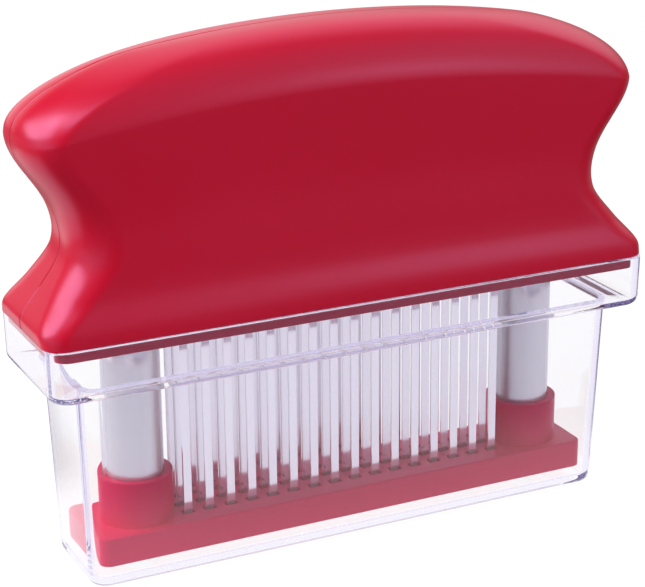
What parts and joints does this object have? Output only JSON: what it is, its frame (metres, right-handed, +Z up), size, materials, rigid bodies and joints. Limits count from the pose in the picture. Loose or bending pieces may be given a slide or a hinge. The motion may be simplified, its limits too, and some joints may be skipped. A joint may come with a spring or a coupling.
{
  "type": "blade meat tenderizer",
  "caption": "Hand-held blade meat tenderizer with a moulded handle, rows of steel blades in a sprung guard on two posts, standing in a clear storage case.",
  "frame": {"origin": "centre of the clear case's underside, where the tool stands", "axes": "+Z up through the handle, X along the tool's length, -Y towards the front"},
  "size_m": [0.1518, 0.0382, 0.1225],
  "materials": {
    "clear_plastic": "clear polished styrene, smooth inside and out",
    "red_plastic": "deep red moulded plastic with a soft gloss",
    "white_plastic": "natural acetal, satin",
    "blade_steel": "stainless strip, ground at the tips",
    "post_steel": "turned stainless tube, fine circular brushing",
    "screw_steel": "plain stainless, machined",
    "spring_steel": "drawn spring wire"
  },
  "bodies": {
    "case": {"clear_case": "clear_plastic"},
    "handle": {"handle_front_shell": "red_plastic", "handle_rear_shell": "red_plastic", "shell_dowels": "screw_steel", "base_plate": "red_plastic", "base_plate_screws": "screw_steel", "front_blade_bar": "white_plastic", "middle_blade_bar": "white_plastic", "rear_blade_bar": "white_plastic", "front_blades": "blade_steel", "middle_blades": "blade_steel", "rear_blades": "blade_steel", "clamp_plate": "screw_steel", "clamp_screws": "screw_steel", "left_guide_bush": "white_plastic", "left_spring_seat": "white_plastic", "left_guide_rod": "screw_steel", "left_spring": "spring_steel", "right_guide_bush": "white_plastic", "right_spring_seat": "white_plastic", "right_guide_rod": "screw_steel", "right_spring": "spring_steel"},
    "guard": {"blade_guard": "red_plastic", "left_post": "post_steel", "left_post_collar": "post_steel", "left_post_foot": "post_steel", "right_post": "post_steel", "right_post_collar": "post_steel", "right_post_foot": "post_steel", "post_screws": "screw_steel", "post_washers": "screw_steel"}
  },
  "joints": [
    {"name": "handle_lift", "type": "slide", "parent": "case", "child": "handle", "axis": [0, 0, 1], "range_m": [0, 0.065]},
    {"name": "guard_slide", "type": "slide", "parent": "handle", "child": "guard", "axis": [0, 0, 1], "range_m": [0, 0.028], "stiffness_N_per_m": 3300, "springref_m": -0.01, "deforming": ["left_spring", "right_spring"]}
  ]
}
